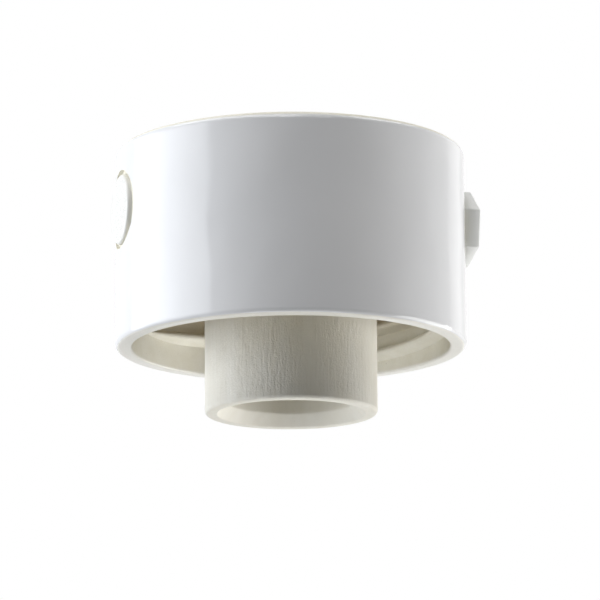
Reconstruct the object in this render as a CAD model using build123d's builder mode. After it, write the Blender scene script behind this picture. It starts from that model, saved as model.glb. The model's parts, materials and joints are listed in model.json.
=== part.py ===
from build123d import *
from math import cos, radians, sin, sqrt
import os

os.makedirs("parts", exist_ok=True)

# A ceiling lamp holder of porcelain. The origin is the centre of the face that meets the ceiling,
# +Z points up into the ceiling, and the holder hangs below it. The cable gland is on the +X side.
# All sizes are in millimetres.

# Glazed porcelain base, a drum that is open at the bottom
base_height = 57.0
base_wall = 4.7
base_floor = 7.0
base_top_round = 2.0
base_rim_round = 1.5
mouth_round = 0.6
cavity_round = 2.0

# Thread for the glass shade: two ribs on the inner wall that climb the same way
rib_lead = 15.6
rib_depth = 4.1
rib_root = 0.5
rib_foot_half = 2.2
rib_crest_half = 0.75
rib_crest_flat = 0.25
rib_crest_round = 0.35
rib_turn = 250.0
rib_step = 10.0
rib_fade_turn = 30.0
rib_fade_least = 0.12
rib_hand = -1
rib_starts = ((79.5, 3.9), (144.5, 8.7))

# Cable entries through bosses on the +X and -X sides
entry_depth = 19.2
spot_depth = 1.2
spot_radius = 11.25
boss_radius = 12.0
boss_shoulder = 3.0
cable_hole_radius = 5.5
entry_clearance = 0.3

# Cable gland: hexagon screw, rubber packing and two washers
gland_thread_radius = 8.0
gland_shank = 8.0
gland_hex_flats = 19.0
gland_hex_height = 4.9
gland_hex_turn = 10.0
gland_hex_edge = 0.5
gland_bore_radius = 5.0
gland_gap = 0.4
washer_thickness = 1.0
packing_length = 5.0
packing_bore_radius = 4.5

# Blanking plug in the other entry
plug_head_radius = 10.0
plug_head_height = 1.5
plug_head_round = 0.7
plug_shank = 9.0
plug_wall = 1.6
plug_seal_width = 1.8
plug_seal_depth = 1.3
plug_seal_offset = 2.5

# Slots for the two ceiling screws
slot_spacing = 60.0
slot_width = 5.0
slot_length = 10.0
slot_recess_margin = 2.3
slot_recess_depth = 2.0

# Pillars in the base that carry the holder body, with a nut pocket behind each
pillar_radius = 6.0
pillar_height = 10.0
fixing_angles = (45.0, 225.0)
fixing_screw_radius = 2.0
fixing_hole_clearance = 0.25
fixing_head_radius = 3.5
fixing_head_height = 2.6
nut_flats = 7.0
nut_height = 3.2
nut_pocket_depth = 6.5
nut_clearance = 0.1
screw_end_setback = 3.0
thread_fit = 0.05
spring_washer_thickness = 1.0
spring_washer_split = 0.8

# Holder body: the unglazed porcelain tube with its flange of four arms
tube_wall = 6.2
tube_drop = 18.9
tube_end_round = 1.0
flange_thickness = 7.0
arm_half_width = 6.5
arm_gap = 5.8
holder_floor = 10.0
socket_clearance = 1.0
skirt_margin = 3.5
skirt_step = 2.5
funnel_lip = 3.5
funnel_depth = 3.6
funnel_edge = 0.5
inner_round = 1.0

# Screw shell of the lamp socket, and its rivets
shell_radius = 13.4
shell_sheet = 0.4
shell_length = 25.0
shell_corner = 0.8
shell_neck_step = 1.0
shell_neck_length = 3.5
shell_neck_slope = 0.8
shell_hole_margin = 1.7
rivet_angles = (265.0, 365.0)
rivet_radius = 1.5
rivet_head_radius = 2.3
rivet_head_height = 1.0
rivet_head_round = 0.8
rivet_clearance = 0.1
rivet_head_gap = 0.1

# Centre contact: a plunger on a spring, held in by a ledge in the holder's floor
ledge_thickness = 2.5
chamber_clearance = 0.3
nose_radius = 3.0
nose_length = 4.5
nose_round = 1.2
guide_clearance = 0.1
shoulder_width = 0.9
shoulder_height = 1.2
stem_radius = 1.1
contact_travel = 2.5
stem_gap = 0.8
spring_wire = 0.6
spring_mean_radius = 2.9
spring_turns = 5

# Brass strips on top of the holder body
strip_thickness = 0.8
strip_half_width = 3.5
strip_centre_margin = 1.0
collar_half_width = 2.5
collar_half_turn = 64.0
collar_gap = 1.4
collar_gap_turn = 12.0
live_angle = 135.0
neutral_angle = 315.0

# Terminals under two of the arms
terminal_gap = 4.5
cage_width = 9.0
cage_depth = 8.0
cage_top = 2.2
cage_opening = 5.5
cage_bottom = 1.8
cage_side = 1.7
strip_screw_radius = 1.5
strip_head_radius = 2.75
strip_head_height = 2.0
wire_screw_radius = 1.75
wire_head_radius = 3.0
wire_head_height = 2.2
wire_head_gap = 0.5
clamp_thickness = 1.0
clamp_gap = 0.3
clamp_side_clearance = 0.3
clamp_length = 7.0
slot_share = 0.5
screw_slot_width = 1.0
head_edge = 0.4
cut_overrun = 1.0

# Heights, measured down from the ceiling face
rim_z = -base_height
cavity_z = -base_floor
entry_z = -entry_depth
holder_top_z = cavity_z - pillar_height
flange_bottom_z = holder_top_z - flange_thickness
holder_floor_z = holder_top_z - holder_floor
shell_end_z = holder_floor_z - shell_length
tube_end_z = rim_z - tube_drop
strip_top_z = holder_top_z + strip_thickness
ledge_top_z = holder_floor_z + ledge_thickness
shoulder_top_z = ledge_top_z + shoulder_height

# Radii and places that follow from the sizes above
shell_outer = shell_radius + shell_sheet
socket_radius = shell_outer + socket_clearance
skirt_radius = socket_radius + skirt_margin
tube_radius = skirt_radius + tube_wall
funnel_radius = tube_radius - funnel_lip
arm_spread = tube_radius + terminal_gap + cage_depth / 2
arm_reach = arm_spread + arm_half_width
mouth_radius = arm_reach + arm_gap
base_radius = mouth_radius + base_wall
spot_face = base_radius - spot_depth
entry_radius = gland_thread_radius + entry_clearance
gland_seat = spot_face + gland_gap
gland_end = gland_seat - gland_shank
packing_end = gland_end - washer_thickness - packing_length
shoulder_face = packing_end - washer_thickness
boss_face = shoulder_face - boss_shoulder
boss_root = sqrt((base_radius - base_wall / 2) ** 2 - boss_radius ** 2)
fixing_hole_radius = fixing_screw_radius + fixing_hole_clearance
shell_neck_radius = shell_radius - shell_neck_step
rivet_spread = shell_neck_radius - shell_corner - rivet_head_radius - rivet_head_gap
shell_hole_radius = rivet_spread - rivet_radius - shell_hole_margin
collar_inner = rivet_spread - collar_half_width
collar_outer = rivet_spread + collar_half_width
shoulder_radius = nose_radius + shoulder_width
chamber_radius = shoulder_radius + chamber_clearance
strip_centre_radius = chamber_radius + strip_centre_margin
cage_height = cage_top + cage_opening + cage_bottom
cage_bottom_z = flange_bottom_z - cage_height
clamp_top_z = flange_bottom_z - cage_top - clamp_gap
clamp_bottom_z = clamp_top_z - clamp_thickness
wire_head_z = cage_bottom_z - wire_head_gap
seal_radius = gland_thread_radius - plug_seal_depth


def entry_plane(side, distance):
    """Plane across a cable entry, facing outwards: its x runs sideways and its y runs up."""
    return Plane(origin=(side * distance, 0, entry_z), x_dir=(0, side, 0), z_dir=(side, 0, 0))


def arm_plane(angle, height, facing=1):
    """Level plane centred on the Z axis, with its x along the arm at that angle."""
    return Plane(
        origin=(0, 0, height),
        x_dir=(cos(radians(angle)), sin(radians(angle)), 0),
        z_dir=(0, 0, facing),
    )


def spot_plane(angle, spread, height, facing=1):
    """Level plane at a distance from the Z axis, with its x pointing away from the axis."""
    return arm_plane(angle, height, facing).shift_origin(
        (spread * cos(radians(angle)), spread * sin(radians(angle)), height)
    )


def radial_plane(angle):
    """Upright plane through the Z axis: its x points out at that angle and its y runs up."""
    return Plane(
        origin=(0, 0, 0),
        x_dir=(cos(radians(angle)), sin(radians(angle)), 0),
        z_dir=(sin(radians(angle)), -cos(radians(angle)), 0),
    )


def shade_rib(start_angle, start_height):
    """One rib of the shade thread, which fades in and out at its ends."""
    steps = round(rib_turn / rib_step)
    with BuildPart() as rib:
        for step in range(steps + 1):
            turned = step * rib_step
            fade = min(1.0, turned / rib_fade_turn, (rib_turn - turned) / rib_fade_turn)
            scale = rib_fade_least + (1 - rib_fade_least) * sin(radians(90 * fade))
            middle = rim_z + start_height + rib_lead * turned / 360
            crest = mouth_radius - rib_depth * scale
            with BuildSketch(radial_plane(start_angle + rib_hand * turned)):
                with BuildLine():
                    Polyline(
                        (mouth_radius + rib_root, middle - rib_foot_half * scale),
                        (crest + rib_crest_round * scale, middle - rib_crest_half * scale),
                        (crest, middle - rib_crest_flat * scale),
                        (crest, middle + rib_crest_flat * scale),
                        (crest + rib_crest_round * scale, middle + rib_crest_half * scale),
                        (mouth_radius + rib_root, middle + rib_foot_half * scale),
                        close=True,
                    )
                make_face()
        loft()
    return rib.part


def slotted_screw(seat, shank_radius, shank_length, head_radius, head_height):
    """Cheese-head screw: its head bears on the seat plane and its shank goes the way the plane faces."""
    along = Axis(seat.origin, seat.z_dir)
    with BuildPart() as screw:
        with BuildSketch(seat):
            Circle(head_radius)
        extrude(amount=-head_height)
        fillet(screw.edges().sort_by(along)[0], head_edge)
        with BuildSketch(seat):
            Circle(shank_radius)
        extrude(amount=shank_length)
        with BuildSketch(seat.offset(-head_height)):
            Rectangle(2 * head_radius + cut_overrun, screw_slot_width)
        extrude(amount=head_height * slot_share, mode=Mode.SUBTRACT)
    return screw.part


# Base housing: drum, entry bosses, pillars and the shade thread, fired as one piece
ribs = [shade_rib(angle, height) for angle, height in rib_starts]

with BuildPart() as base_housing:
    with BuildSketch(Plane.XZ):
        with BuildLine():
            outline = FilletPolyline(
                (0, 0),
                (base_radius, 0),
                (base_radius, rim_z),
                (mouth_radius, rim_z),
                (mouth_radius, cavity_z),
                (0, cavity_z),
                radius=(base_top_round, base_rim_round, mouth_round, cavity_round),
            )
            Line(outline @ 1, outline @ 0)
        make_face()
    revolve(axis=Axis.Z)
    for side in (1, -1):
        with BuildSketch(entry_plane(side, boss_face)):
            Circle(boss_radius)
            Rectangle(2 * boss_radius, entry_depth - base_floor / 2, align=(Align.CENTER, Align.MIN))
        extrude(amount=boss_root - boss_face)
    for angle in fixing_angles:
        with BuildSketch(spot_plane(angle, arm_spread, cavity_z)):
            Circle(pillar_radius)
        extrude(amount=-pillar_height)
    for side in (1, -1):
        with BuildSketch(entry_plane(side, boss_face)):
            Circle(cable_hole_radius)
        extrude(amount=base_radius - boss_face, mode=Mode.SUBTRACT)
        with BuildSketch(entry_plane(side, shoulder_face)):
            Circle(entry_radius)
        extrude(amount=base_radius - shoulder_face, mode=Mode.SUBTRACT)
        with BuildSketch(entry_plane(side, spot_face)):
            Circle(spot_radius)
        extrude(amount=base_radius - spot_face, mode=Mode.SUBTRACT)
    for angle in fixing_angles:
        with BuildSketch(spot_plane(angle, arm_spread, 0)):
            Circle(fixing_hole_radius)
        extrude(amount=-base_floor - pillar_height, mode=Mode.SUBTRACT)
        with BuildSketch(spot_plane(angle, arm_spread, 0)):
            RegularPolygon(nut_flats / 2 + nut_clearance, 6, major_radius=False)
        extrude(amount=-nut_pocket_depth, mode=Mode.SUBTRACT)
    with BuildSketch(Plane.XY):
        with GridLocations(0, slot_spacing, 1, 2):
            SlotOverall(slot_length, slot_width, rotation=90)
    extrude(amount=-base_floor, mode=Mode.SUBTRACT)
    with BuildSketch(Plane.XY.offset(cavity_z)):
        with GridLocations(0, slot_spacing, 1, 2):
            SlotOverall(
                slot_length + 2 * slot_recess_margin, slot_width + 2 * slot_recess_margin, rotation=90
            )
    extrude(amount=slot_recess_depth, mode=Mode.SUBTRACT)
    add(ribs)
base_housing.part.label = "base_housing"
export_step(base_housing.part, "parts/base_housing.step")

# Holder body: tube with its skirt and socket, and the four-armed flange that hangs on the pillars
with BuildPart() as holder_body:
    with BuildSketch(Plane.XY.offset(holder_top_z)):
        Circle(tube_radius)
        for angle in (*fixing_angles, live_angle, neutral_angle):
            with Locations(Location((0, 0, 0), (0, 0, angle))):
                Rectangle(arm_reach - arm_half_width, 2 * arm_half_width, align=(Align.MIN, Align.CENTER))
            with PolarLocations(arm_reach - arm_half_width, 1, start_angle=angle):
                Circle(arm_half_width)
    extrude(amount=-flange_thickness)
    with BuildSketch(Plane.XZ):
        with BuildLine():
            tube_outline = FilletPolyline(
                (0, holder_top_z),
                (tube_radius, holder_top_z),
                (tube_radius, tube_end_z),
                (funnel_radius, tube_end_z),
                (skirt_radius, tube_end_z + funnel_depth),
                (skirt_radius, shell_end_z - skirt_step),
                (socket_radius, shell_end_z),
                (socket_radius, holder_floor_z),
                (0, holder_floor_z),
                radius=(0, tube_end_round, funnel_edge, inner_round, inner_round, inner_round, inner_round),
            )
            Line(tube_outline @ 1, tube_outline @ 0)
        make_face()
    revolve(axis=Axis.Z)
    with BuildSketch(Plane.XY.offset(holder_top_z)):
        Circle(nose_radius + guide_clearance)
    extrude(amount=-holder_floor, mode=Mode.SUBTRACT)
    with BuildSketch(Plane.XY.offset(holder_top_z)):
        Circle(chamber_radius)
    extrude(amount=ledge_top_z - holder_top_z, mode=Mode.SUBTRACT)
    for angle in rivet_angles:
        with BuildSketch(spot_plane(angle, rivet_spread, holder_top_z)):
            Circle(rivet_radius + rivet_clearance)
        extrude(amount=-holder_floor, mode=Mode.SUBTRACT)
    for angle in fixing_angles:
        with BuildSketch(spot_plane(angle, arm_spread, holder_top_z)):
            Circle(fixing_hole_radius)
        extrude(amount=-flange_thickness, mode=Mode.SUBTRACT)
    for angle in (live_angle, neutral_angle):
        with BuildSketch(spot_plane(angle, arm_spread, holder_top_z)):
            Circle(strip_screw_radius + fixing_hole_clearance)
        extrude(amount=-flange_thickness, mode=Mode.SUBTRACT)
holder_body.part.label = "holder_body"
export_step(holder_body.part, "parts/holder_body.step")

# Screw shell, drawn with a plain wall at the thread's outer radius and a neck above the last turn
neck_z = holder_floor_z - shell_sheet - shell_neck_length
slope_z = neck_z - shell_neck_slope
with BuildPart() as screw_shell:
    with BuildSketch(Plane.XZ):
        with BuildLine():
            shell_outline = FilletPolyline(
                (shell_hole_radius, holder_floor_z),
                (shell_neck_radius + shell_sheet, holder_floor_z),
                (shell_neck_radius + shell_sheet, neck_z),
                (shell_outer, slope_z),
                (shell_outer, shell_end_z),
                (shell_radius, shell_end_z),
                (shell_radius, slope_z),
                (shell_neck_radius, neck_z),
                (shell_neck_radius, holder_floor_z - shell_sheet),
                (shell_hole_radius, holder_floor_z - shell_sheet),
                radius=(shell_corner + shell_sheet, 0, 0, 0, 0, 0, 0, shell_corner),
            )
            Line(shell_outline @ 1, shell_outline @ 0)
        make_face()
    revolve(axis=Axis.Z)
    for angle in rivet_angles:
        with BuildSketch(spot_plane(angle, rivet_spread, holder_floor_z)):
            Circle(rivet_radius + rivet_clearance)
        extrude(amount=-shell_sheet, mode=Mode.SUBTRACT)
screw_shell.part.label = "screw_shell"
export_step(screw_shell.part, "parts/screw_shell.step")

# Rivets that hold the shell to the holder's floor and to the neutral strip
rivet_bottom_z = holder_floor_z - shell_sheet
for number, angle in enumerate(rivet_angles, 1):
    with BuildPart() as shell_rivet:
        with BuildSketch(spot_plane(angle, rivet_spread, rivet_bottom_z)):
            Circle(rivet_radius)
        extrude(amount=strip_top_z - rivet_bottom_z)
        with BuildSketch(spot_plane(angle, rivet_spread, strip_top_z)):
            Circle(rivet_head_radius)
        extrude(amount=rivet_head_height)
        fillet(shell_rivet.edges().sort_by(Axis.Z)[-1], rivet_head_round)
        with BuildSketch(spot_plane(angle, rivet_spread, rivet_bottom_z)):
            Circle(rivet_head_radius)
        extrude(amount=-rivet_head_height)
        fillet(shell_rivet.edges().sort_by(Axis.Z)[0], rivet_head_round)
    shell_rivet.part.label = f"shell_rivet_{number}"
    export_step(shell_rivet.part, f"parts/shell_rivet_{number}.step")

# Contact plunger: nose below the ledge, shoulder on it, and a stem inside the spring
with BuildPart() as contact_plunger:
    with BuildSketch(Plane.XY.offset(ledge_top_z)):
        Circle(shoulder_radius)
    extrude(amount=shoulder_height)
    with BuildSketch(Plane.XY.offset(ledge_top_z)):
        Circle(nose_radius)
    extrude(amount=-ledge_thickness - nose_length)
    fillet(contact_plunger.edges().sort_by(Axis.Z)[0], nose_round)
    with BuildSketch(Plane.XY.offset(shoulder_top_z)):
        Circle(stem_radius)
    extrude(amount=holder_top_z - shoulder_top_z - contact_travel - stem_gap)
contact_plunger.part.label = "contact_plunger"
export_step(contact_plunger.part, "parts/contact_plunger.step")

# Contact spring, from the plunger's shoulder up to the live strip
spring_bottom_z = shoulder_top_z + spring_wire / 2
spring_height = holder_top_z - spring_wire / 2 - spring_bottom_z
with BuildPart() as contact_spring:
    with BuildLine() as coil:
        Helix(
            pitch=spring_height / spring_turns,
            height=spring_height,
            radius=spring_mean_radius,
            center=(0, 0, spring_bottom_z),
        )
    with BuildSketch(Plane(origin=coil.line @ 0, z_dir=coil.line % 0)):
        Circle(spring_wire / 2)
    sweep(path=coil.line, is_frenet=True)
contact_spring.part.label = "contact_spring"
export_step(contact_spring.part, "parts/contact_spring.step")

# Live strip: a disc over the spring, clear of the neutral strip's collar, and an arm out to its
# terminal
with BuildPart() as live_strip:
    with BuildSketch(Plane.XY.offset(holder_top_z)):
        Circle(strip_centre_radius)
        with BuildLine():
            clear_turn = 2 * (collar_half_turn + collar_gap_turn)
            clear_start = neutral_angle - clear_turn / 2
            near_arc = CenterArc((0, 0), collar_inner - collar_gap, clear_start, clear_turn)
            far_arc = CenterArc((0, 0), collar_outer, clear_start, clear_turn)
            Line(near_arc @ 0, far_arc @ 0)
            Line(near_arc @ 1, far_arc @ 1)
        make_face(mode=Mode.SUBTRACT)
        with Locations(Location((0, 0, 0), (0, 0, live_angle))):
            Rectangle(arm_spread, 2 * strip_half_width, align=(Align.MIN, Align.CENTER))
        with PolarLocations(arm_spread, 1, start_angle=live_angle):
            Circle(strip_half_width)
            Circle(strip_screw_radius + thread_fit, mode=Mode.SUBTRACT)
    extrude(amount=strip_thickness)
live_strip.part.label = "live_strip"
export_step(live_strip.part, "parts/live_strip.step")

# Neutral strip: part of a ring that takes both rivets, and an arm out to its terminal
with BuildPart() as neutral_strip:
    with BuildSketch(Plane.XY.offset(holder_top_z)):
        with BuildLine():
            collar_start = neutral_angle - collar_half_turn
            inner_arc = CenterArc((0, 0), collar_inner, collar_start, 2 * collar_half_turn)
            outer_arc = CenterArc((0, 0), collar_outer, collar_start, 2 * collar_half_turn)
            Line(inner_arc @ 0, outer_arc @ 0)
            Line(inner_arc @ 1, outer_arc @ 1)
        make_face()
        with PolarLocations(arm_spread, 1, start_angle=neutral_angle):
            Rectangle(arm_spread - rivet_spread, 2 * strip_half_width, align=(Align.MAX, Align.CENTER))
        with PolarLocations(arm_spread, 1, start_angle=neutral_angle):
            Circle(strip_half_width)
            Circle(strip_screw_radius + thread_fit, mode=Mode.SUBTRACT)
        for angle in rivet_angles:
            with PolarLocations(rivet_spread, 1, start_angle=angle):
                Circle(rivet_radius + rivet_clearance, mode=Mode.SUBTRACT)
    extrude(amount=strip_thickness)
neutral_strip.part.label = "neutral_strip"
export_step(neutral_strip.part, "parts/neutral_strip.step")

# Terminals: an open cage under the arm, a screw down into it from the strip, and a wire screw
# from below that lifts a clamp plate
for pole, angle in (("live", live_angle), ("neutral", neutral_angle)):
    with BuildPart() as terminal:
        with BuildSketch(spot_plane(angle, arm_spread, flange_bottom_z)):
            Rectangle(cage_depth, cage_width)
        extrude(amount=-cage_height)
        with BuildSketch(spot_plane(angle, arm_spread, flange_bottom_z - cage_top)):
            Rectangle(cage_depth - 2 * cage_side, cage_width + cut_overrun)
        extrude(amount=-cage_opening, mode=Mode.SUBTRACT)
        with BuildSketch(spot_plane(angle, arm_spread, flange_bottom_z)):
            Circle(strip_screw_radius + thread_fit)
        extrude(amount=-cage_top, mode=Mode.SUBTRACT)
        with BuildSketch(spot_plane(angle, arm_spread, cage_bottom_z)):
            Circle(wire_screw_radius + thread_fit)
        extrude(amount=cage_bottom, mode=Mode.SUBTRACT)
        fillet(terminal.edges().filter_by(Axis.Z).group_by(SortBy.LENGTH)[-1], head_edge)
    terminal.part.label = f"{pole}_terminal"
    export_step(terminal.part, f"parts/{pole}_terminal.step")

    strip_screw = slotted_screw(
        spot_plane(angle, arm_spread, strip_top_z, facing=-1),
        strip_screw_radius,
        strip_thickness + flange_thickness + cage_top,
        strip_head_radius,
        strip_head_height,
    )
    strip_screw.label = f"{pole}_strip_screw"
    export_step(strip_screw, f"parts/{pole}_strip_screw.step")

    wire_screw = slotted_screw(
        spot_plane(angle, arm_spread, wire_head_z),
        wire_screw_radius,
        clamp_bottom_z - wire_head_z,
        wire_head_radius,
        wire_head_height,
    )
    wire_screw.label = f"{pole}_wire_screw"
    export_step(wire_screw, f"parts/{pole}_wire_screw.step")

    with BuildPart() as wire_clamp:
        with BuildSketch(spot_plane(angle, arm_spread, clamp_top_z)):
            RectangleRounded(
                cage_depth - 2 * cage_side - 2 * clamp_side_clearance, clamp_length, clamp_side_clearance
            )
        extrude(amount=-clamp_thickness)
    wire_clamp.part.label = f"{pole}_wire_clamp"
    export_step(wire_clamp.part, f"parts/{pole}_wire_clamp.step")

# Fixing screws through two arms and the pillars, with spring washers and captive nuts
fixing_seat_z = flange_bottom_z - spring_washer_thickness
for number, angle in enumerate(fixing_angles, 1):
    holder_screw = slotted_screw(
        spot_plane(angle, arm_spread, fixing_seat_z),
        fixing_screw_radius,
        -screw_end_setback - fixing_seat_z,
        fixing_head_radius,
        fixing_head_height,
    )
    holder_screw.label = f"holder_screw_{number}"
    export_step(holder_screw, f"parts/holder_screw_{number}.step")

    with BuildPart() as spring_washer:
        with BuildSketch(spot_plane(angle, arm_spread, fixing_seat_z)):
            Circle(fixing_head_radius)
            Circle(fixing_hole_radius, mode=Mode.SUBTRACT)
            Rectangle(
                2 * fixing_head_radius,
                spring_washer_split,
                align=(Align.MIN, Align.CENTER),
                mode=Mode.SUBTRACT,
            )
        extrude(amount=spring_washer_thickness)
    spring_washer.part.label = f"spring_washer_{number}"
    export_step(spring_washer.part, f"parts/spring_washer_{number}.step")

    with BuildPart() as captive_nut:
        with BuildSketch(spot_plane(angle, arm_spread, -nut_pocket_depth)):
            RegularPolygon(nut_flats / 2, 6, major_radius=False)
            Circle(fixing_screw_radius + thread_fit, mode=Mode.SUBTRACT)
        extrude(amount=nut_height)
    captive_nut.part.label = f"captive_nut_{number}"
    export_step(captive_nut.part, f"parts/captive_nut_{number}.step")

# Gland screw: hexagon head outside the base and a hollow shank in the boss
gland_plane = Plane(origin=(gland_seat, 0, entry_z), x_dir=(0, 0, 1), z_dir=(1, 0, 0))
with BuildPart() as gland_screw:
    with BuildSketch(gland_plane):
        RegularPolygon(gland_hex_flats / 2, 6, major_radius=False, rotation=gland_hex_turn)
    extrude(amount=gland_hex_height)
    fillet(gland_screw.edges().filter_by(Axis.X), gland_hex_edge)
    chamfer(gland_screw.faces().sort_by(Axis.X)[-1].edges(), gland_hex_edge)
    with BuildSketch(gland_plane):
        Circle(gland_thread_radius)
    extrude(amount=-gland_shank)
    with BuildSketch(gland_plane.offset(gland_hex_height)):
        Circle(gland_bore_radius)
    extrude(amount=-gland_hex_height - gland_shank, mode=Mode.SUBTRACT)
gland_screw.part.label = "gland_screw"
export_step(gland_screw.part, "parts/gland_screw.step")

# What the gland screw presses: a washer, the rubber packing and the washer on the boss's shoulder
with BuildPart() as gland_washer:
    with BuildSketch(entry_plane(1, gland_end)):
        Circle(gland_thread_radius)
        Circle(gland_bore_radius, mode=Mode.SUBTRACT)
    extrude(amount=-washer_thickness)
gland_washer.part.label = "gland_washer"
export_step(gland_washer.part, "parts/gland_washer.step")

with BuildPart() as gland_packing:
    with BuildSketch(entry_plane(1, packing_end)):
        Circle(gland_thread_radius)
        Circle(packing_bore_radius, mode=Mode.SUBTRACT)
    extrude(amount=packing_length)
gland_packing.part.label = "gland_packing"
export_step(gland_packing.part, "parts/gland_packing.step")

with BuildPart() as gland_seat_washer:
    with BuildSketch(entry_plane(1, shoulder_face)):
        Circle(gland_thread_radius)
        Circle(gland_bore_radius, mode=Mode.SUBTRACT)
    extrude(amount=washer_thickness)
gland_seat_washer.part.label = "gland_seat_washer"
export_step(gland_seat_washer.part, "parts/gland_seat_washer.step")

# Blanking plug: a disc on the spot face and a hollow shank with a groove for its seal
seal_start = spot_face - plug_seal_offset - plug_seal_width
with BuildPart() as blanking_plug:
    with BuildSketch(entry_plane(-1, spot_face)):
        Circle(plug_head_radius)
    extrude(amount=plug_head_height)
    fillet(blanking_plug.edges().sort_by(Axis.X)[0], plug_head_round)
    with BuildSketch(entry_plane(-1, spot_face)):
        Circle(gland_thread_radius)
    extrude(amount=-plug_shank)
    with BuildSketch(entry_plane(-1, spot_face - plug_shank)):
        Circle(seal_radius - plug_wall)
    extrude(amount=plug_shank, mode=Mode.SUBTRACT)
    with BuildSketch(entry_plane(-1, seal_start)):
        Circle(gland_thread_radius)
        Circle(seal_radius, mode=Mode.SUBTRACT)
    extrude(amount=plug_seal_width, mode=Mode.SUBTRACT)
blanking_plug.part.label = "blanking_plug"
export_step(blanking_plug.part, "parts/blanking_plug.step")

with BuildPart() as plug_seal:
    with BuildSketch(entry_plane(-1, seal_start)):
        Circle(entry_radius)
        Circle(seal_radius, mode=Mode.SUBTRACT)
    extrude(amount=plug_seal_width)
plug_seal.part.label = "plug_seal"
export_step(plug_seal.part, "parts/plug_seal.step")
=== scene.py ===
import json
from math import cos, pi, radians, sin

import bmesh
import bpy
from mathutils import Matrix, Vector


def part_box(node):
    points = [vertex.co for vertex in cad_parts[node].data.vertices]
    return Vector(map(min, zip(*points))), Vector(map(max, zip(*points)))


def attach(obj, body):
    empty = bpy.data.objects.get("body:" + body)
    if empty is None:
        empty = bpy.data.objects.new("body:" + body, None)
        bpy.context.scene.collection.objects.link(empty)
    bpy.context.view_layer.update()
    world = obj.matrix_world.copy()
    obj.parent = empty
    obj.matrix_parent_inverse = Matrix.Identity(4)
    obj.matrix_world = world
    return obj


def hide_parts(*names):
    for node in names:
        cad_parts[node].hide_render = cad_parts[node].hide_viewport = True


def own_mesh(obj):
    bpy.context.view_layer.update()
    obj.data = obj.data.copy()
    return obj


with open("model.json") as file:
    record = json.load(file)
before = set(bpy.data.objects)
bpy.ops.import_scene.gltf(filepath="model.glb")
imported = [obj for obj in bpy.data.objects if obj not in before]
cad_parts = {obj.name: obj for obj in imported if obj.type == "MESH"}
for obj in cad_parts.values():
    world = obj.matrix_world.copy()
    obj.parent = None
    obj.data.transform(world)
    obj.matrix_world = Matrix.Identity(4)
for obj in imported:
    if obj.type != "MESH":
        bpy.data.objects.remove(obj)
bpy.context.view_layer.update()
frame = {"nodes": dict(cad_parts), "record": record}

MM = 0.001
MICRON = 0.000001

# The drum's rim is its lowest place
RIM_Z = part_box("base_housing")[0].z

# The camera of a view from below: its distance, its angles, and how far to the right of the rim's
# centre and above it the camera aims
CAMERA_DISTANCE = 1.2
CAMERA_BELOW = 0.202
CAMERA_AZIMUTH = radians(-15.5)
CAMERA_ROLL = 0.006
CAMERA_LENS = 253.1
AIM_RIGHT = 2.59 * MM
AIM_UP = 13.9 * MM

# Soft studio light, and a floor far below
AMBIENT = 0.02
COOL = (0.905, 0.94, 1.0)
WHITE = (1.0, 1.0, 1.0)
FLOOR_Z = -3.4
FLOOR_HALF = 3.0

# Glaze line: the drum is glazed outside this radius, and its rim, inside and ceiling face are bare
GLAZE_RADIUS = 49.3 * MM

# The round flat seats of the gland screw and the plug are bare too
ENTRY_Z = -19.2 * MM
SEAT_RADIUS = 11.25 * MM

# Deeper than this, the porcelain inside the drum is painted tan: painted shade of the deep cavity
PAINTED_SHADE_Z = RIM_Z + 9 * MM

# The holder body's tube outside and its shell bore
TUBE_RADIUS = 24.5 * MM
TUBE_BORE = 14.8 * MM

# The lamp's screw shell: its sheet, its floor with a hole and a round corner, its neck and its round thread
SHELL_SHEET = 0.4 * MM
SHELL_HOLE = 6.0 * MM
SHELL_FLOOR = 11.3 * MM
SHELL_CORNER = 1.2 * MM
SHELL_NECK = 12.8 * MM
SHELL_NECK_LENGTH = 3.9 * MM
SHELL_SLOPE = 0.8 * MM
SHELL_LIP = 0.6 * MM
SHELL_PITCH = 3.62 * MM
SHELL_THREAD_DEPTH = 1.15 * MM
SHELL_THREAD_FADE = 1.5 * MM

# Thread radius, thread pitch and head height of each kind of small screw
WIRE_SCREW = (1.75 * MM, 0.6 * MM, 2.2 * MM)
STRIP_SCREW = (1.5 * MM, 0.5 * MM, 2.0 * MM)
FIXING_SCREW = (2.0 * MM, 0.7 * MM, 2.6 * MM)

# Thread of the gland screw
GLAND_RADIUS = 8.0 * MM
GLAND_PITCH = 1.5 * MM
GLAND_LENGTH = 8.0 * MM

# Form of every wound thread, as shares of its pitch: how much thinner the core is, the ridge's radius,
# and where the ridge starts and how much of the length it leaves free
CORE_STEP = 0.5
RIDGE_SHARE = 0.45
RIDGE_START = 0.8
RIDGE_FREE = 1.4

# Points of a CAD mesh nearer than this are one point
MERGE = 0.002 * MM

UP, DOWN, INWARD = Vector((0, 0, 1)), Vector((0, 0, -1)), Vector((-1, 0, 0))


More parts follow.
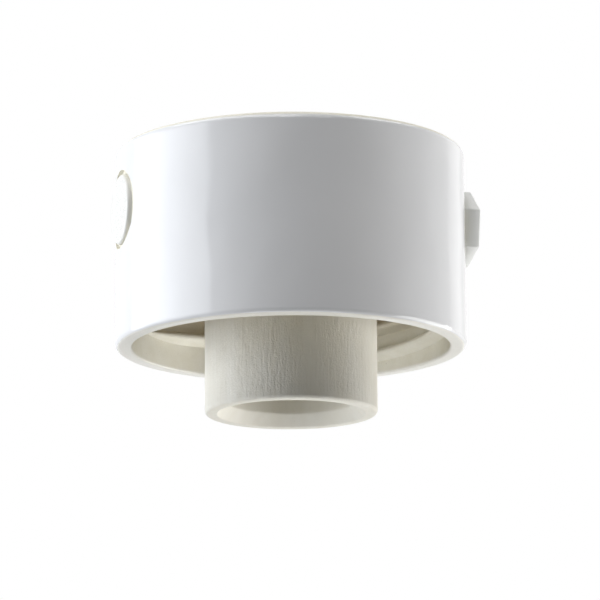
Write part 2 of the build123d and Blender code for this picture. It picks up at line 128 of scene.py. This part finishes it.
class Finish:
    """A node material under construction; its methods add nodes and return the socket to use."""

    def __init__(self, name):
        self.material = bpy.data.materials.new(name)
        self.material.use_nodes = True
        self.tree = self.material.node_tree
        self.tree.nodes.clear()
        self.shader = self.add("ShaderNodeBsdfPrincipled")
        output = self.add("ShaderNodeOutputMaterial")
        self.tree.links.new(self.shader.outputs["BSDF"], output.inputs["Surface"])
        self.place = self.add("ShaderNodeTexCoord").outputs["Object"]

    def add(self, kind, **settings):
        made = self.tree.nodes.new(kind)
        for key, value in settings.items():
            setattr(made, key, value)
        return made

    def feed(self, socket, value):
        """Links a socket to another, or gives it a plain value."""
        if isinstance(value, bpy.types.NodeSocket):
            self.tree.links.new(value, socket)
        elif hasattr(value, "__len__") and len(value) == 3 and socket.type == "RGBA":
            socket.default_value = (*value, 1)
        else:
            socket.default_value = value

    def math(self, operation, *values, clamp=False):
        made = self.add("ShaderNodeMath", operation=operation, use_clamp=clamp)
        for socket, value in zip(made.inputs, values):
            self.feed(socket, value)
        return made.outputs[0]

    def stretched(self, scale, turn=(0, 0, 0)):
        """Object coordinates with each axis scaled, for grain that runs one way."""
        made = self.add("ShaderNodeMapping")
        self.feed(made.inputs["Vector"], self.place)
        made.inputs["Scale"].default_value = scale
        made.inputs["Rotation"].default_value = turn
        return made.outputs[0]

    def noise(self, size, detail=3.0, roughness=0.5, where=None):
        """Noise whose features are about this size in metres."""
        made = self.add("ShaderNodeTexNoise")
        self.feed(made.inputs["Vector"], where or self.place)
        made.inputs["Scale"].default_value = 1 / size
        made.inputs["Detail"].default_value = detail
        made.inputs["Roughness"].default_value = roughness
        return made.outputs["Fac"]

    def specks(self, spacing, size, where=None):
        """Small dots: 1 inside a dot and 0 outside."""
        made = self.add("ShaderNodeTexVoronoi")
        self.feed(made.inputs["Vector"], where or self.place)
        made.inputs["Scale"].default_value = 1 / spacing
        return self.span(made.outputs["Distance"], size / spacing, 0.4 * size / spacing)

    def span(self, value, low, high, to_low=0.0, to_high=1.0, smooth=True):
        made = self.add("ShaderNodeMapRange", interpolation_type="SMOOTHSTEP" if smooth else "LINEAR")
        self.feed(made.inputs["Value"], value)
        made.inputs["From Min"].default_value = low
        made.inputs["From Max"].default_value = high
        self.feed(made.inputs["To Min"], to_low)
        self.feed(made.inputs["To Max"], to_high)
        return made.outputs["Result"]

    def mix(self, share, first, second):
        made = self.add("ShaderNodeMix", data_type="RGBA")
        self.feed(made.inputs[0], share)
        self.feed(made.inputs[6], first)
        self.feed(made.inputs[7], second)
        return made.outputs[2]

    def blend(self, share, first, second):
        made = self.add("ShaderNodeMix", data_type="FLOAT")
        self.feed(made.inputs[0], share)
        self.feed(made.inputs[2], first)
        self.feed(made.inputs[3], second)
        return made.outputs[0]

    def bump(self, height, depth, strength=1.0, under=None):
        """A bump whose full height is this many metres."""
        made = self.add("ShaderNodeBump")
        self.feed(made.inputs["Strength"], strength)
        made.inputs["Distance"].default_value = depth
        self.feed(made.inputs["Height"], height)
        if under is not None:
            self.feed(made.inputs["Normal"], under)
        return made.outputs["Normal"]

    def radius(self):
        """Distance from the Z axis."""
        parts = self.add("ShaderNodeSeparateXYZ")
        self.feed(parts.inputs[0], self.place)
        x, y = parts.outputs["X"], parts.outputs["Y"]
        return self.math("SQRT", self.math("ADD", self.math("MULTIPLY", x, x), self.math("MULTIPLY", y, y)))

    def axis(self, name):
        parts = self.add("ShaderNodeSeparateXYZ")
        self.feed(parts.inputs[0], self.place)
        return parts.outputs[name]

    def surface(self, **values):
        """Sets the shader's sockets, written with underscores for spaces."""
        for key, value in values.items():
            self.feed(self.shader.inputs[key.replace("_", " ")], value)
        return self.material


def glazed_drum():
    """White glaze outside, bare cream porcelain at the rim, inside and on the ceiling face."""
    f = Finish("glazed_drum")
    wobble = f.math("MULTIPLY", f.math("SUBTRACT", f.noise(9 * MM, 2), 0.5), 0.35 * MM)
    radius = f.radius()
    outside = f.span(f.math("ADD", radius, wobble), GLAZE_RADIUS, GLAZE_RADIUS + 0.12 * MM)
    z = f.axis("Z")
    y, up = f.axis("Y"), f.math("SUBTRACT", z, ENTRY_Z)
    from_entry = f.math("SQRT", f.math("ADD", f.math("MULTIPLY", y, y), f.math("MULTIPLY", up, up)))
    seats = f.math("MAXIMUM", f.span(from_entry, SEAT_RADIUS + 0.05 * MM, SEAT_RADIUS + 0.2 * MM),
                   f.span(f.math("ABSOLUTE", f.axis("X")), 30 * MM, 20 * MM))
    glazed = f.math("MULTIPLY", f.math("MULTIPLY", outside, seats), f.span(z, -0.7 * MM, -1.3 * MM))
    # Painted shade: deep inside the drum the bare porcelain is darkened to tan, standing in for the
    # cavity's shade
    painted_deep_shade = f.math("MULTIPLY", f.span(f.math("ADD", z, wobble), PAINTED_SHADE_Z, PAINTED_SHADE_Z + 8 * MM),
                  f.math("MULTIPLY", f.span(radius, 47.5 * MM, 46.5 * MM), f.span(z, -5 * MM, -7 * MM)))

    mottle = f.noise(6 * MM, 4, 0.6)
    grain = f.noise(0.5 * MM, 4, 0.7)
    bare = f.mix(f.span(mottle, 0.3, 0.7), (0.81, 0.78, 0.67), (0.86, 0.835, 0.74))
    # This tan is painted shade, not the porcelain's own colour
    bare = f.mix(painted_deep_shade, bare, (0.70, 0.61, 0.45))
    rim = f.span(z, RIM_Z + 1.2 * MM, RIM_Z + 0.3 * MM)
    bare = f.mix(f.math("MULTIPLY", rim, 0.6), bare, (0.88, 0.87, 0.82))
    bare = f.mix(f.math("MULTIPLY", f.span(grain, 0.35, 0.75), 0.2), bare, (0.70, 0.66, 0.55))
    bare = f.mix(f.math("MULTIPLY", f.specks(3.1 * MM, 0.16 * MM), 0.55), bare, (0.30, 0.25, 0.18))

    tint = f.noise(28 * MM, 2)
    white = f.mix(f.span(tint, 0.3, 0.7), (0.850, 0.853, 0.858), (0.872, 0.873, 0.876))
    white = f.mix(f.math("MULTIPLY", f.specks(7.3 * MM, 0.14 * MM), 0.5), white, (0.42, 0.38, 0.30))

    turning = f.noise(0.9 * MM, 3, 0.6, f.stretched((0.35, 0.35, 1.0)))
    bare_bump = f.bump(grain, 30 * MICRON, 1.0, f.bump(turning, 40 * MICRON, 1.0))
    swell = f.noise(26 * MM, 1, 0.4)
    waves = f.noise(9 * MM, 2, 0.45, f.stretched((1.0, 1.0, 0.6)))
    fine = f.bump(f.noise(1.4 * MM, 2), 3 * MICRON)
    glaze_bump = f.bump(swell, 750 * MICRON, 1.0, f.bump(waves, 130 * MICRON, 1.0, fine))
    normal = f.add("ShaderNodeMix", data_type="VECTOR")
    f.feed(normal.inputs[0], glazed)
    f.feed(normal.inputs[4], bare_bump)
    f.feed(normal.inputs[5], glaze_bump)
    rough_inside = f.span(grain, 0.2, 0.8, 0.72, 0.9)
    rough_rim = f.span(grain, 0.2, 0.8, 0.26, 0.36)
    rough_glaze = f.span(waves, 0.3, 0.7, 0.07, 0.13)
    return f.surface(
        Base_Color=f.mix(glazed, bare, white),
        Roughness=f.blend(glazed, f.blend(rim, rough_inside, rough_rim), rough_glaze),
        IOR=1.5,
        Normal=normal.outputs[1],
    )


def bare_tube():
    """Unglazed off-white porcelain with fine upright finishing marks."""
    f = Finish("bare_tube")
    outside = f.span(f.radius(), TUBE_RADIUS - 0.9 * MM, TUBE_RADIUS - 0.3 * MM)
    # Painted shade: the bore wall is darkened to brown, standing in for the shade inside the bore
    painted_deep_shade = f.span(f.radius(), TUBE_BORE + 1.2 * MM, TUBE_BORE + 0.2 * MM)
    streaks = f.noise(0.7 * MM, 3, 0.6, f.stretched((1.0, 1.0, 0.12)))
    marks = f.math("MULTIPLY", f.math("SUBTRACT", streaks, 0.5), outside)
    broad = f.noise(5 * MM, 3, 0.6, f.stretched((1.0, 1.0, 0.16)))
    pebble = f.noise(1.2 * MM, 3, 0.6, f.stretched((1.0, 1.0, 0.5)))
    grain = f.noise(0.45 * MM, 3, 0.6)
    colour = f.mix(f.span(broad, 0.3, 0.7), (0.845, 0.815, 0.72), (0.885, 0.86, 0.775))
    colour = f.mix(f.math("MULTIPLY", f.span(marks, -0.05, 0.3), 0.25), colour, (0.72, 0.69, 0.58))
    # This brown is painted shade in the bore, not the porcelain's own colour
    colour = f.mix(painted_deep_shade, colour, (0.64, 0.56, 0.42))
    colour = f.mix(f.math("MULTIPLY", f.specks(3.7 * MM, 0.15 * MM), 0.5), colour, (0.32, 0.27, 0.2))
    relief = f.math("ADD", f.math("MULTIPLY", f.math("SUBTRACT", pebble, 0.5), 0.6),
                    f.math("MULTIPLY", f.math("SUBTRACT", grain, 0.5), 0.4))
    relief = f.math("MULTIPLY", relief, f.span(outside, 0.0, 1.0, 0.3, 1.0))
    return f.surface(
        Base_Color=colour,
        Roughness=f.span(streaks, 0.2, 0.8, 0.62, 0.8),
        Specular_IOR_Level=0.3,
        Normal=f.bump(marks, 170 * MICRON, 1.0, f.bump(relief, 320 * MICRON)),
    )


def metal(name, colour, dark, rough, streak, patina=0.3):
    """Plain metal with fine rolling marks, faint stains and worn patches."""
    f = Finish(name)
    stain = f.span(f.noise(3.5 * MM, 4, 0.65), 0.42, 0.75)
    marks = f.noise(streak, 3, 0.6, f.stretched((1.0, 0.12, 0.25)))
    tone = f.mix(f.math("MULTIPLY", stain, patina), colour, dark)
    return f.surface(
        Base_Color=tone,
        Metallic=1.0,
        Roughness=f.math("ADD", f.span(marks, 0.2, 0.8, rough - 0.06, rough + 0.08),
                         f.math("MULTIPLY", stain, 0.12)),
        Normal=f.bump(marks, 4 * MICRON, 1.0, f.bump(f.noise(0.5 * MM, 3), 3 * MICRON)),
    )


def moulded_plastic(name, light, shade, rough):
    """Moulded thermoset with a faint flow pattern and a fine skin."""
    f = Finish(name)
    flow = f.noise(4 * MM, 4, 0.6)
    skin = f.noise(0.22 * MM, 3, 0.6)
    return f.surface(
        Base_Color=f.mix(f.span(flow, 0.3, 0.7), light, shade),
        Roughness=f.span(skin, 0.2, 0.8, rough - 0.05, rough + 0.06),
        IOR=1.5,
        Normal=f.bump(skin, 5 * MICRON, 1.0, f.bump(flow, 12 * MICRON)),
    )


def packing_rubber():
    f = Finish("packing_rubber")
    bloom = f.noise(2.5 * MM, 4, 0.6)
    grain = f.noise(0.2 * MM, 3, 0.6)
    return f.surface(
        Base_Color=f.mix(f.span(bloom, 0.35, 0.75), (0.022, 0.022, 0.023), (0.05, 0.05, 0.052)),
        Roughness=f.span(bloom, 0.3, 0.7, 0.62, 0.8),
        Normal=f.bump(grain, 10 * MICRON),
    )


def set_camera():
    """Puts the camera at the photograph's viewing angle."""
    target = Vector((0, 0, RIM_Z))
    level = Vector((sin(CAMERA_AZIMUTH), -cos(CAMERA_AZIMUTH), 0))
    back = level * cos(CAMERA_BELOW) - Vector((0, 0, sin(CAMERA_BELOW)))
    level_right = Vector((cos(CAMERA_AZIMUTH), sin(CAMERA_AZIMUTH), 0))
    level_up = back.cross(level_right)
    right = level_right * cos(CAMERA_ROLL) - level_up * sin(CAMERA_ROLL)
    up = level_right * sin(CAMERA_ROLL) + level_up * cos(CAMERA_ROLL)
    place = target + back * CAMERA_DISTANCE
    back = (place - (target + right * AIM_RIGHT + up * AIM_UP)).normalized()
    right = (right - back * right.dot(back)).normalized()
    up = back.cross(right)
    camera = bpy.data.objects.new("camera", bpy.data.cameras.new("camera"))
    camera.data.lens = CAMERA_LENS
    camera.data.clip_end = 20
    camera.matrix_world = Matrix.Translation(place) @ Matrix((right, up, back)).transposed().to_4x4()
    bpy.context.scene.collection.objects.link(camera)
    bpy.context.scene.camera = camera


def add_panel(name, azimuth, height, distance, width, tall, strength, colour=(1, 1, 1), fade=None):
    """A soft box that faces the drum; its azimuth counts to the right from the camera's side.

    With fade, its strength runs from that share at the side nearer the camera to 1 at the far side.
    """
    turn = CAMERA_AZIMUTH + radians(azimuth)
    rise = radians(height)
    out = Vector((sin(turn) * cos(rise), -cos(turn) * cos(rise), sin(rise)))
    lamp = bpy.data.lights.new(name, "AREA")
    lamp.shape = "RECTANGLE"
    lamp.size = width
    lamp.size_y = tall
    lamp.energy = strength * pi * width * tall
    lamp.color = colour
    if fade is not None:
        lamp.use_nodes = True
        tree = lamp.node_tree
        spot = tree.nodes.new("ShaderNodeSeparateXYZ")
        tree.links.new(tree.nodes.new("ShaderNodeNewGeometry").outputs["Parametric"], spot.inputs[0])
        ramp = tree.nodes.new("ShaderNodeMapRange")
        ramp.inputs["To Min"].default_value = 1.0
        ramp.inputs["To Max"].default_value = fade
        tree.links.new(spot.outputs["X"], ramp.inputs["Value"])
        tree.links.new(ramp.outputs["Result"], tree.nodes["Emission"].inputs["Strength"])
    panel = bpy.data.objects.new(name, lamp)
    panel.location = Vector((0, 0, RIM_Z / 2)) + out * distance
    panel.rotation_mode = "QUATERNION"
    panel.rotation_quaternion = out.to_track_quat("Z", "Y")
    bpy.context.scene.collection.objects.link(panel)


def seen_level(tree, low, high):
    """A strength that is high where the camera, a gloss or a glass sees it, and low for all other light."""
    path = tree.nodes.new("ShaderNodeLightPath")
    seen = path.outputs["Is Camera Ray"]
    for name in ("Is Glossy Ray", "Is Transmission Ray"):
        either = tree.nodes.new("ShaderNodeMath")
        either.operation = "MAXIMUM"
        tree.links.new(seen, either.inputs[0])
        tree.links.new(path.outputs[name], either.inputs[1])
        seen = either.outputs[0]
    level = tree.nodes.new("ShaderNodeMapRange")
    level.inputs["To Min"].default_value = low
    level.inputs["To Max"].default_value = high
    tree.links.new(seen, level.inputs["Value"])
    return level.outputs["Result"]


def set_world():
    """Even light from all round, and plain white behind the object."""
    world = bpy.data.worlds.new("studio")
    world.use_nodes = True
    tree = world.node_tree
    tree.nodes.clear()
    background = tree.nodes.new("ShaderNodeBackground")
    background.inputs["Color"].default_value = (1, 1, 1, 1)
    tree.links.new(seen_level(tree, AMBIENT, 1.0), background.inputs["Strength"])
    output = tree.nodes.new("ShaderNodeOutputWorld")
    tree.links.new(background.outputs[0], output.inputs["Surface"])
    bpy.context.scene.world = world


def add_floor():
    """A pale floor well below the lamp holder, which hangs."""
    mesh = bpy.data.meshes.new("floor")
    corners = [(x * FLOOR_HALF, y * FLOOR_HALF, FLOOR_Z) for x, y in ((-1, -1), (1, -1), (1, 1), (-1, 1))]
    mesh.from_pydata(corners, [], [(0, 1, 2, 3)])
    floor = bpy.data.objects.new("floor", mesh)
    f = Finish("pale_floor")
    mesh.materials.append(f.surface(
        Base_Color=f.mix(f.noise(0.2, 2), (0.84, 0.84, 0.84), (0.88, 0.88, 0.88)), Roughness=0.7,
        Emission_Color=(1, 1, 1), Emission_Strength=seen_level(f.tree, 0.0, 0.8)))
    bpy.context.scene.collection.objects.link(floor)


def ridge_tree():
    """Geometry nodes that wind one thread ridge: a small six-sided profile along a helix."""
    tree = bpy.data.node_groups.new("thread_ridge", "GeometryNodeTree")
    sockets = {}
    for name, kind in (("Core Radius", "Float"), ("Ridge", "Float"), ("Length", "Float"),
                       ("Turns", "Float"), ("Finish", "Material")):
        sockets[name] = tree.interface.new_socket(name, in_out="INPUT", socket_type="NodeSocket" + kind)
    tree.interface.new_socket("Geometry", in_out="OUTPUT", socket_type="NodeSocketGeometry")
    given = tree.nodes.new("NodeGroupInput")
    helix = tree.nodes.new("GeometryNodeCurveSpiral")
    helix.inputs["Resolution"].default_value = 40
    helix.inputs["Reverse"].default_value = True
    for source, target in (("Turns", "Rotations"), ("Core Radius", "Start Radius"),
                           ("Core Radius", "End Radius"), ("Length", "Height")):
        tree.links.new(given.outputs[source], helix.inputs[target])
    upright = tree.nodes.new("GeometryNodeSetCurveNormal")
    upright.mode = "Z_UP"
    tree.links.new(helix.outputs[0], upright.inputs["Curve"])
    profile = tree.nodes.new("GeometryNodeCurvePrimitiveCircle")
    profile.inputs["Resolution"].default_value = 6
    tree.links.new(given.outputs["Ridge"], profile.inputs["Radius"])
    ridge = tree.nodes.new("GeometryNodeCurveToMesh")
    ridge.inputs["Fill Caps"].default_value = True
    tree.links.new(upright.outputs[0], ridge.inputs["Curve"])
    tree.links.new(profile.outputs["Curve"], ridge.inputs["Profile Curve"])
    real = tree.nodes.new("GeometryNodeRealizeInstances")
    tree.links.new(ridge.outputs[0], real.inputs[0])
    dress = tree.nodes.new("GeometryNodeSetMaterial")
    tree.links.new(real.outputs[0], dress.inputs["Geometry"])
    tree.links.new(given.outputs["Finish"], dress.inputs["Material"])
    output = tree.nodes.new("NodeGroupOutput")
    tree.links.new(dress.outputs[0], output.inputs[0])
    return tree, {name: socket.identifier for name, socket in sockets.items()}


def wound_ridge(core, ridge, length, turns, finish):
    """The mesh of one thread ridge, which starts at the origin and climbs +Z."""
    tree, ids = RIDGE
    carrier = bpy.data.objects.new("ridge", bpy.data.meshes.new("ridge"))
    bpy.context.scene.collection.objects.link(carrier)
    modifier = carrier.modifiers.new("ridge", "NODES")
    modifier.node_group = tree
    for name, value in (("Core Radius", core), ("Ridge", ridge), ("Length", length), ("Turns", turns),
                        ("Finish", finish)):
        modifier[ids[name]] = value
    bpy.context.view_layer.update()
    graph = bpy.context.evaluated_depsgraph_get()
    mesh = bpy.data.meshes.new_from_object(carrier.evaluated_get(graph))
    carrier.modifiers.remove(modifier)
    bpy.data.objects.remove(carrier)
    return mesh


def merged_form(node):
    """A copy of a CAD node's mesh whose faces share their points."""
    form = bmesh.new()
    form.from_mesh(frame["nodes"][node].data)
    bmesh.ops.remove_doubles(form, verts=form.verts, dist=MERGE)
    return form


def finished_piece(name, form, slot, sharp):
    """A piece made of a form, in one finish, with edges sharper than this many degrees kept."""
    mesh = bpy.data.meshes.new(name)
    form.to_mesh(mesh)
    form.free()
    mesh.materials.append(FINISHES[slot])
    mesh.polygons.foreach_set("material_index", [0] * len(mesh.polygons))
    mesh.shade_smooth()
    mesh.set_sharp_from_angle(angle=radians(sharp))
    piece = bpy.data.objects.new(name, mesh)
    bpy.context.scene.collection.objects.link(piece)
    return piece


def threaded(node, body, slot, along, start, end, radius, pitch):
    """A screw with a real thread: the frame's own head, a thinner core and a wound ridge.

    The thread runs on the axis through the point start, in the direction along, up to end.
    """
    core = radius - CORE_STEP * pitch
    form = merged_form(node)
    for vert in form.verts:
        way = (vert.co - start).dot(along)
        spoke = vert.co - start - along * way
        if way > -0.02 * MM and abs(spoke.length - radius) < 0.05 * MM:
            vert.co = start + along * way + spoke * (core / radius)
    run = (end - start).length - RIDGE_FREE * pitch
    ridge = wound_ridge(core, RIDGE_SHARE * pitch, run, run / pitch, FINISHES[slot])
    turn = along.to_track_quat("Z", "Y").to_matrix().to_4x4()
    ridge.transform(Matrix.Translation(start + along * RIDGE_START * pitch) @ turn)
    form.from_mesh(ridge)
    bmesh.ops.recalc_face_normals(form, faces=form.faces)
    piece = finished_piece(node + "_threaded", form, slot, 35)
    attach(piece, body)
    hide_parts(node)


def upright_screw(node, body, along, size):
    """A threaded steel screw that stands upright, with its tip in the direction along."""
    radius, pitch, head = size
    low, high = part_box(node)
    centre = (low + high) / 2
    seat_z, tip_z = (low.z + head, high.z) if along is UP else (high.z - head, low.z)
    seat, tip = Vector((centre.x, centre.y, seat_z)), Vector((centre.x, centre.y, tip_z))
    threaded(node, body, "zinc_steel", along, seat, tip, radius, pitch)


def rolled_shell():
    """The lamp's screw shell with its rolled round thread, a plain lip, a neck and a flat floor."""
    low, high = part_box("screw_shell")
    outer = high.x
    neck_end = high.z - SHELL_NECK_LENGTH
    thread_start, thread_end = neck_end - SHELL_SLOPE, low.z + SHELL_LIP + SHELL_SLOPE
    rows = [(SHELL_HOLE, high.z), (SHELL_FLOOR, high.z)]
    for degrees in range(10, 100, 10):
        bend = radians(degrees)
        rows.append((SHELL_NECK - SHELL_CORNER * (1 - sin(bend)), high.z - SHELL_CORNER * (1 - cos(bend))))
    rows += [(SHELL_NECK, neck_end + SHELL_CORNER), (SHELL_NECK, neck_end)]
    steps = 150
    for k in range(steps + 1):
        rows.append((None, thread_start + (thread_end - thread_start) * k / steps))
    rows += [(outer, low.z + SHELL_LIP), (outer, low.z)]
    around = 120
    verts, faces = [], []
    for radius, z in rows:
        for k in range(around):
            angle = 2 * pi * k / around
            if radius is None:
                fade = min(1.0, min(thread_start - z, z - thread_end) / SHELL_THREAD_FADE)
                wave = 0.5 - 0.5 * cos(2 * pi * (z / SHELL_PITCH - angle / (2 * pi)))
                r = outer - SHELL_THREAD_DEPTH * wave * fade
            else:
                r = radius
            verts.append((r * cos(angle), r * sin(angle), z))
    for row in range(len(rows) - 1):
        for k in range(around):
            a, b = row * around + k, row * around + (k + 1) % around
            faces.append((a, a + around, b + around, b))
    mesh = bpy.data.meshes.new("rolled_shell")
    mesh.from_pydata(verts, [], faces)
    form = bmesh.new()
    form.from_mesh(mesh)
    bmesh.ops.recalc_face_normals(form, faces=form.faces)
    outwards = 0.0
    for face in form.faces:
        centre = face.calc_center_median()
        outwards += face.normal.dot(Vector((centre.x, centre.y, 0)))
    if outwards < 0:
        bmesh.ops.reverse_faces(form, faces=form.faces)
    form.to_mesh(mesh)
    form.free()
    mesh.materials.append(FINISHES["plated_brass"])
    piece = bpy.data.objects.new("rolled_shell", mesh)
    bpy.context.scene.collection.objects.link(piece)
    wall = piece.modifiers.new("sheet", "SOLIDIFY")
    wall.thickness = SHELL_SHEET
    wall.offset = -1
    mesh.shade_smooth()
    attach(piece, "holder")
    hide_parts("screw_shell")


def pressed_spring():
    """The contact spring as a piece with a mesh of its own. The real spring shortens towards its upper end
    as the contact is pushed in.
    """
    piece = finished_piece("pressed_spring", merged_form("contact_spring"), "zinc_steel", 50)
    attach(piece, "holder")
    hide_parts("contact_spring")
    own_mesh(piece)


FINISHES = {
    "glazed_porcelain": glazed_drum(),
    "bisque_porcelain": bare_tube(),
    "brass": metal("brass", (0.72, 0.52, 0.24), (0.36, 0.22, 0.10), 0.28, 0.35 * MM),
    "plated_brass": metal("plated_brass", (0.66, 0.63, 0.57), (0.42, 0.38, 0.30), 0.24, 0.4 * MM, 0.2),
    "zinc_steel": metal("zinc_steel", (0.56, 0.57, 0.59), (0.34, 0.34, 0.34), 0.34, 0.3 * MM),
    "ivory_plastic": moulded_plastic("ivory_plastic", (0.83, 0.825, 0.785), (0.80, 0.795, 0.75), 0.28),
    "grey_plastic": moulded_plastic("grey_plastic", (0.83, 0.835, 0.805), (0.80, 0.805, 0.775), 0.3),
    "packing_rubber": packing_rubber(),
}

set_camera()
set_world()
add_floor()
add_panel("left_box", -88, -5, 1.0, 1.38, 0.95, 4.5, COOL, fade=0.48)
add_panel("right_strip", 137, 4, 1.0, 0.42, 1.15, 0.5, WHITE)
add_panel("high_right_box", 78, 54, 1.0, 0.7, 0.45, 4.4, WHITE)
add_panel("low_right_box", 106, -24, 0.9, 0.8, 0.6, 4.6, WHITE)
add_panel("under_box", 0, -90, 1.0, 0.6, 0.6, 2.9, WHITE)
add_panel("high_left_box", -48, 54, 1.0, 1.4, 0.45, 3.4, WHITE)

for row in frame["record"]["subparts"]:
    node = frame["nodes"][row["node"]]
    finish = FINISHES[row["material_slot"]]
    for slot in node.material_slots:
        slot.material = finish

RIDGE = ridge_tree()
rolled_shell()
pressed_spring()
for pole in ("live", "neutral"):
    upright_screw(pole + "_wire_screw", pole + "_screw", UP, WIRE_SCREW)
    upright_screw(pole + "_strip_screw", "holder", DOWN, STRIP_SCREW)
for number in ("1", "2"):
    upright_screw("holder_screw_" + number, "holder", UP, FIXING_SCREW)
low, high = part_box("gland_screw")
seat = Vector((low.x + GLAND_LENGTH, 0, ENTRY_Z))
threaded("gland_screw", "gland", "grey_plastic", INWARD, seat, seat + INWARD * GLAND_LENGTH,
         GLAND_RADIUS, GLAND_PITCH)

scene = bpy.context.scene
scene.view_settings.view_transform = "Standard"
